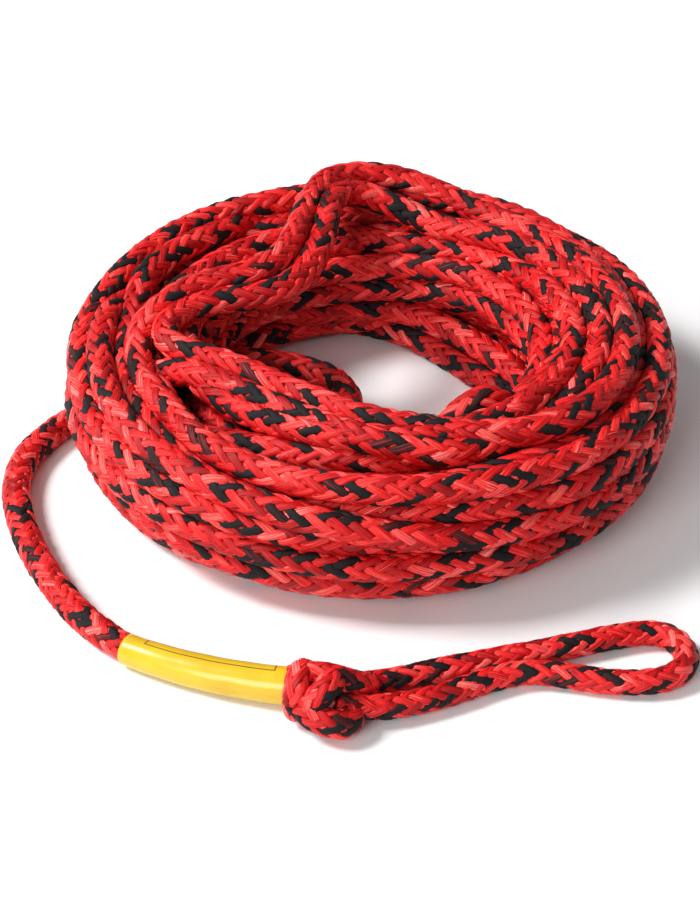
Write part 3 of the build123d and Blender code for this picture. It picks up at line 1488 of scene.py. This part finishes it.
@dataclass(frozen=True)
class RoundTurn:
    """A turn of the knot that goes a little more than once round its axis."""

    middle: Point
    axis: Point
    radius: float
    sweep: float = 380.0
    spacing: float = 30.0

    def points(self) -> np.ndarray:
        """Place the turn's control points.

        Returns:
            The control points, one per row.
        """
        way = Vector(self.axis).normalized()
        side = way.cross(UP).normalized()
        up = side.cross(way)
        angles = np.radians(np.linspace(0.0, self.sweep, int(self.sweep / self.spacing)))
        across, rise = self.radius * np.cos(angles), self.radius * np.sin(angles)
        return np.array([Vector(self.middle) + side * x + up * z for x, z in zip(across, rise)])


@dataclass
class EyeKnot:
    """The overhand knot: a wrap against the sleeve, a crest, a band across and a round bight."""

    step: float = 0.0009
    girth: float = 0.86
    bight_girth: float = 0.94
    turn: float = 0.3
    wrap: RoundTurn = RoundTurn((-0.0258, -0.1724, 0.0112), (0.96, -0.26, 0.0), 0.0070)
    band: RoundTurn = RoundTurn((-0.0190, -0.1752, 0.0116), (0.66, -0.36, -0.50), 0.0074)
    braid: Braid = field(default_factory=lambda: Braid(pitch=0.043, end_pitch=0.043, seed=41))
    pieces: list[bpy.types.Object] = field(default_factory=list)

    def routes(self) -> dict[str, tuple[np.ndarray, float]]:
        """List the knot's visible turns.

        Returns:
            By name, each turn's control points and its thickness.
        """
        return {
            "knot_wrap": (self.wrap.points(), self.girth),
            "knot_top": (np.array(KNOT_TOP_POINTS), self.girth),
            "knot_band": (self.band.points(), self.girth),
            "knot_bight": (np.array(KNOT_BIGHT_POINTS), self.bight_girth),
        }

    def build(self) -> None:
        """Build the knot's turns."""
        for name, (control, thickness) in self.routes().items():
            line = Line(follow_spline(name, control, self.step))
            girth = np.full(len(line.points), thickness)
            lay = self.braid.lay(line, Squash.on_floor(line), girth, self.turn)
            self.pieces.append(self.braid.core(name + "_inside", lay))
            self.pieces.append(self.braid.joined_strands(name, lay))
        LOG.info("knot: %d pieces", len(self.pieces))

    def dress(self, braid: bpy.types.Material, inside: bpy.types.Material) -> None:
        """Give the knot's turns their finishes."""
        for piece in self.pieces:
            piece.data.materials.append(inside if piece.name.endswith("_inside") else braid)

    def declare(self) -> None:
        """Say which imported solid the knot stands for."""
        for piece in self.pieces:
            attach(piece, BODY)
            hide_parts("eye_knot")


@dataclass
class LabelSleeve:
    """The yellow sleeve: a shrunk tube that swells with the splice beneath it."""

    length: float = 0.064
    arc_r: float = 0.170
    end: tuple[float, float] = (-0.0303, -0.1655)
    end_heading: float = math.radians(-9.4)
    rope_d: float = 0.010
    splice_end_d: float = 0.0122
    wall: float = 0.001
    lip_share: float = 0.45
    inside_share: float = 0.98
    into_knot: float = 0.004
    rib_run: float = 0.0026
    rib_height: float = 0.00004
    swell_run: float = 0.011
    swell_height: float = 0.00007
    lowest: float = 0.0001
    sides: int = 96
    rings: int = 90
    piece: bpy.types.Object | None = None

    def section(self, past_mouth: float) -> tuple[Vector, Vector, float]:
        """Find the sleeve's place and size at a length past its mouth.

        Args:
            past_mouth: the length along the sleeve's axis.

        Returns:
            The centre, the direction and the outside radius.
        """
        heading = self.end_heading + (past_mouth - self.length) / self.arc_r
        share = min(max(past_mouth / self.length, 0.0), 1.0)
        radius = (self.rope_d + share * (self.splice_end_d - self.rope_d)) / 2.0 + self.wall
        arc_x = self.end[0] - self.arc_r * math.sin(self.end_heading)
        arc_y = self.end[1] + self.arc_r * math.cos(self.end_heading)
        x, y = arc_x + self.arc_r * math.sin(heading), arc_y - self.arc_r * math.cos(heading)
        return Vector((x, y, radius)), Vector((math.cos(heading), math.sin(heading), 0.0)), radius

    def axis_points(self) -> list[Point]:
        """Control points of the rope's line through the sleeve and into the knot."""
        lengths = np.linspace(0.0, self.length + self.into_knot, 5)
        return [tuple(self.section(length)[0]) for length in lengths]

    def build(self) -> None:
        """Build the sleeve's outside, rolled ends and inside as one closed skin."""
        profile = self.profile()
        rings = [self.ring(past_mouth, depth) for past_mouth, depth in profile]
        shape = np.array(rings + rings[:1])
        along = np.array([length for length, _ in profile + profile[:1]]) / self.length
        around = np.linspace(0.0, 1.0, self.sides + 1)
        flat = np.zeros(len(shape))
        parts = MeshParts()
        parts.add(shape, around, along, flat, flat, (0, rows_needed(len(shape))))
        self.piece = parts.piece("label_sleeve_skin")
        LOG.info("label sleeve: %.0f mm long", self.length * 1000.0)

    def ring(self, past_mouth: float, depth: float) -> list[Point]:
        """Place one ring of the sleeve's skin.

        Args:
            past_mouth: the length along the sleeve's axis.
            depth: how deep the ring lies in the wall.

        Returns:
            The ring's points.
        """
        place, way, radius = self.section(past_mouth)
        side = way.cross(UP)
        ring = []
        for index in range(self.sides):
            angle = WHOLE_TURN * index / self.sides
            bulge = self.bulge(past_mouth, angle) if depth < self.wall / 2.0 else 0.0
            reach = radius - depth + bulge
            point = place + side * (reach * math.cos(angle)) + UP * (reach * math.sin(angle))
            ring.append((point.x, point.y, max(point.z, self.lowest)))
        return ring

    def profile(self) -> list[tuple[float, float]]:
        """Draw the wall's outline: outside, far lip, inside and near lip.

        Returns:
            Lengths past the mouth and depths under the outside.
        """
        lip, middle = self.wall * self.lip_share, self.wall / 2
        lengths = np.linspace(lip, self.length - lip, self.rings)
        back = np.linspace(self.length - lip, lip, self.rings)
        steps = np.radians(np.linspace(20.0, 160.0, 6))
        outside = [(length, 0.0) for length in lengths]
        far_lip = [(self.length - lip + lip * math.sin(a), middle * (1 - math.cos(a))) for a in steps]
        inside = [(length, self.wall * self.inside_share) for length in back]
        near_lip = [(lip - lip * math.sin(a), middle * (1 + math.cos(a))) for a in steps]
        return outside + far_lip + inside + near_lip

    def bulge(self, past_mouth: float, angle: float) -> float:
        """Tell how far the braid beneath pushes the thin wall out.

        Args:
            past_mouth: the length along the sleeve's axis.
            angle: the angle round the sleeve.

        Returns:
            The wall's rise.
        """
        ribs = math.sin(past_mouth / self.rib_run + 3.0 * math.sin(angle)) * self.rib_height
        swell = math.sin(past_mouth / self.swell_run + 2.0 * angle) * self.swell_height
        return ribs + swell

    def dress(self, finish: bpy.types.Material) -> None:
        """Give the sleeve its finish."""
        self.piece.data.materials.append(finish)

    def declare(self) -> None:
        """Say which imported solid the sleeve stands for."""
        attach(self.piece, BODY)
        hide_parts("label_sleeve")


@dataclass
class Studio:
    """Pale floor, soft light and the camera."""

    floor_size: float = 6.0
    look_at: Point = (-0.0082, -0.0093, 0.0)
    elevation: float = math.radians(35.35)
    distance: float = 1.0
    lens: float = 96.94
    far_clip: float = 20.0
    key_place: Point = (-1.90, 0.10, 2.00)
    key_size: float = 0.85
    key_power: float = 93.0
    fill_place: Point = (-1.20, -2.08, 1.20)
    fill_size: float = 1.3
    fill_power: float = 36.0
    sky_strength: float = 0.30

    def build(self, finish: bpy.types.Material) -> None:
        """Place the floor, the lights and the camera.

        Args:
            finish: the floor's material.
        """
        half = self.floor_size / 2.0
        mesh = bpy.data.meshes.new("floor")
        corners = [(-half, -half, 0), (half, -half, 0), (half, half, 0), (-half, half, 0)]
        mesh.from_pydata(corners, [], [(0, 1, 2, 3)])
        floor = bpy.data.objects.new("floor", mesh)
        floor.data.materials.append(finish)
        bpy.context.scene.collection.objects.link(floor)
        self.lamp("key", self.key_place, self.key_size, self.key_power)
        self.lamp("fill", self.fill_place, self.fill_size, self.fill_power)
        world = bpy.data.worlds.new("studio")
        world.use_nodes = True
        backdrop = world.node_tree.nodes["Background"]
        backdrop.inputs[0].default_value = (1.0, 1.0, 1.0, 1.0)
        backdrop.inputs[1].default_value = self.sky_strength
        bpy.context.scene.world = world
        bpy.context.scene.view_settings.view_transform = "Standard"
        self.camera()

    def lamp(self, name: str, place: Point, size: float, power: float) -> None:
        """Add one soft lamp that looks at the object.

        Args:
            name: the lamp's name.
            place: where it stands.
            size: its width.
            power: its power in watts.
        """
        light = bpy.data.lights.new(name, "AREA")
        light.size = size
        light.energy = power
        holder = bpy.data.objects.new(name, light)
        holder.location = place
        holder.rotation_euler = (-Vector(place)).to_track_quat("-Z", "Y").to_euler()
        bpy.context.scene.collection.objects.link(holder)

    def camera(self) -> None:
        """Add the camera and make it the scene's own."""
        view = bpy.data.cameras.new("view")
        view.lens = self.lens
        view.clip_end = self.far_clip
        holder = bpy.data.objects.new("view", view)
        away = Vector((0.0, -math.cos(self.elevation), math.sin(self.elevation)))
        holder.location = Vector(self.look_at) + away * self.distance
        holder.rotation_euler = (-away).to_track_quat("-Z", "Y").to_euler()
        bpy.context.scene.collection.objects.link(holder)
        bpy.context.scene.camera = holder


def dress_tail(braid: bpy.types.Material) -> None:
    """Give the buried tail of the splice the rope's finish.

    Args:
        braid: the strands' finish.
    """
    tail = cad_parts["splice_tail"]
    tail.data.materials.clear()
    tail.data.materials.append(braid)


def main() -> None:
    """Build every sub-assembly in order, and report each."""
    logging.basicConfig(level=logging.INFO, format="%(name)s: %(message)s")
    braid = BraidFinish().material()
    inside = CoreFinish().material()
    Studio().build(FloorFinish().material())
    rope = TowRope()
    for assembly in (rope, TowEye(), EyeKnot()):
        assembly.build()
        assembly.dress(braid, inside)
        assembly.declare()
    fibres = LooseFibres()
    fibres.build(rope.line, rope.braid.middle_r + rope.braid.crown)
    fibres.dress(braid)
    fibres.declare(rope.pieces[0])
    sleeve = LabelSleeve()
    sleeve.build()
    sleeve.dress(SleeveFinish().material())
    sleeve.declare()
    dress_tail(braid)


if __name__ == "__main__":
    main()
